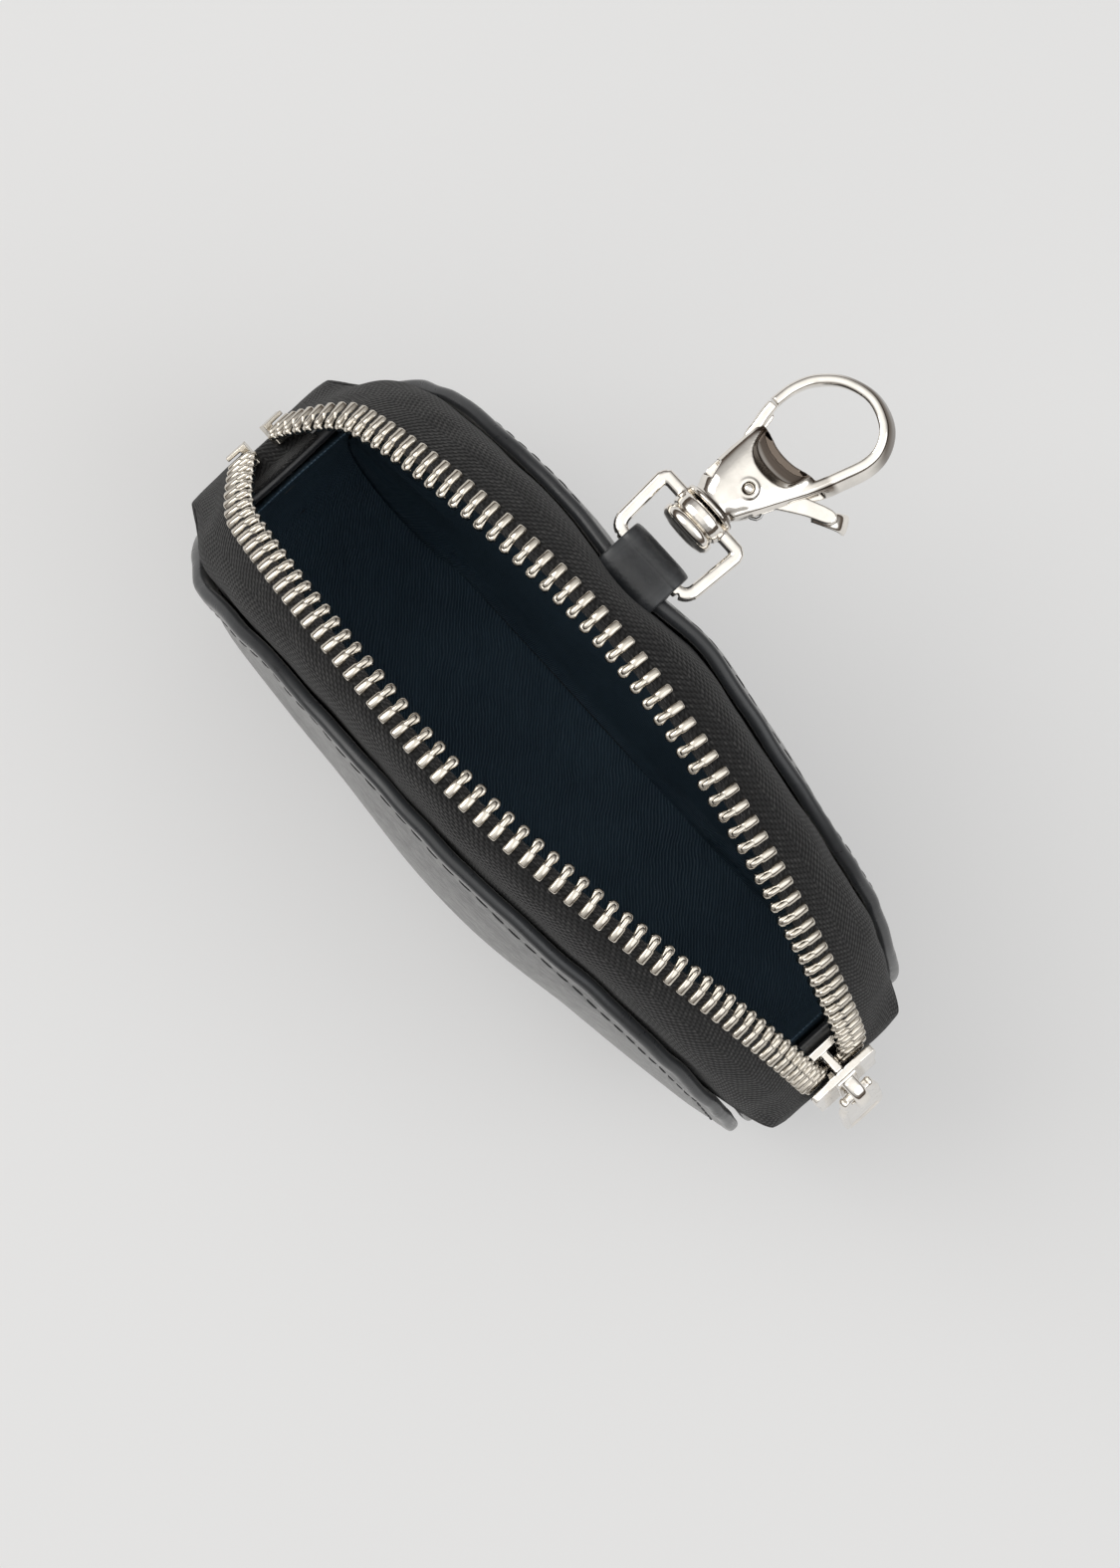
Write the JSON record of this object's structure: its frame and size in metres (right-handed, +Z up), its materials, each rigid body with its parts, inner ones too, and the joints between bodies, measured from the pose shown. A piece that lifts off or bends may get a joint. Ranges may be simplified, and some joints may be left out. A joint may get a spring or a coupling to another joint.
{
  "type": "zip coin purse",
  "caption": "Half-moon leather coin purse with an arched metal zip, soft lining and a swivel trigger hook on a side loop.",
  "frame": {"origin": "centre of the flat underside, on the plane the purse stands on", "axes": "+X along the purse toward the slider's rest end, +Y toward the side that carries the loop and hook, +Z up through the mouth"},
  "size_m": [0.1168, 0.0774, 0.0914],
  "materials": {
    "leather": "smooth black leather with a soft sheen",
    "lining": "fine ribbed near-black lining cloth",
    "zip_tape": "charcoal herringbone zip tape",
    "nickel": "polished nickel plate",
    "spring_steel": "bare spring wire"
  },
  "bodies": {
    "base": {"bottom_gusset": "leather", "left_gusset": "leather", "right_gusset": "leather", "base_lining": "lining", "bottom_stop": "nickel", "front_top_stop": "nickel", "back_top_stop": "nickel"},
    "front_side": {"front_panel": "leather", "front_lining": "lining", "front_tape": "zip_tape", "front_teeth": "nickel"},
    "back_side": {"back_panel": "leather", "back_lining": "lining", "back_tape": "zip_tape", "back_teeth": "nickel", "loop_strap": "leather"},
    "slider": {"slider_body": "nickel"},
    "pull": {"pull_tab": "nickel"},
    "eye": {"swivel_eye": "nickel"},
    "hook": {"swivel_rivet": "nickel", "hook_body": "nickel", "trigger_pin": "nickel", "trigger_spring": "spring_steel"},
    "gate": {"trigger": "nickel"}
  },
  "joints": [
    {"name": "slider_travel", "type": "hinge", "parent": "base", "child": "slider", "pos_m": [0, 0, 0.036], "axis": [0, -1, 0], "range_deg": [0, 147.5], "deforming": ["front_tape", "back_tape", "front_teeth", "back_teeth", "front_lining", "back_lining", "left_gusset", "right_gusset"]},
    {"name": "front_close", "type": "hinge", "parent": "base", "child": "front_side", "pos_m": [0, -0.0125, 0.001], "axis": [-1, 0, 0], "range_deg": [0, 7]},
    {"name": "back_close", "type": "hinge", "parent": "base", "child": "back_side", "pos_m": [0, 0.0125, 0.001], "axis": [1, 0, 0], "range_deg": [0, 7]},
    {"name": "pull_swing", "type": "hinge", "parent": "slider", "child": "pull", "pos_m": [0.05683, 0, 0.04768], "axis": [0, -1, 0], "range_deg": [0, 110]},
    {"name": "eye_swing", "type": "hinge", "parent": "back_side", "child": "eye", "pos_m": [-0.0085, 0.0226, 0.081], "axis": [1, 0, 0], "range_deg": [-55, 70]},
    {"name": "hook_swivel", "type": "hinge", "parent": "eye", "child": "hook", "pos_m": [-0.0085, 0.031, 0.081], "axis": [0, 1, 0], "continuous": true},
    {"name": "gate_open", "type": "hinge", "parent": "hook", "child": "gate", "pos_m": [-0.007, 0.0368, 0.081], "axis": [0, 0, -1], "range_deg": [0, 30], "stiffness_Nm_per_rad": 0.005, "deforming": ["trigger_spring"]}
  ],
  "couplings": [
    {"joint": "front_close", "follows": "slider_travel", "ratio": 0.0471},
    {"joint": "back_close", "follows": "slider_travel", "ratio": 0.0471}
  ]
}
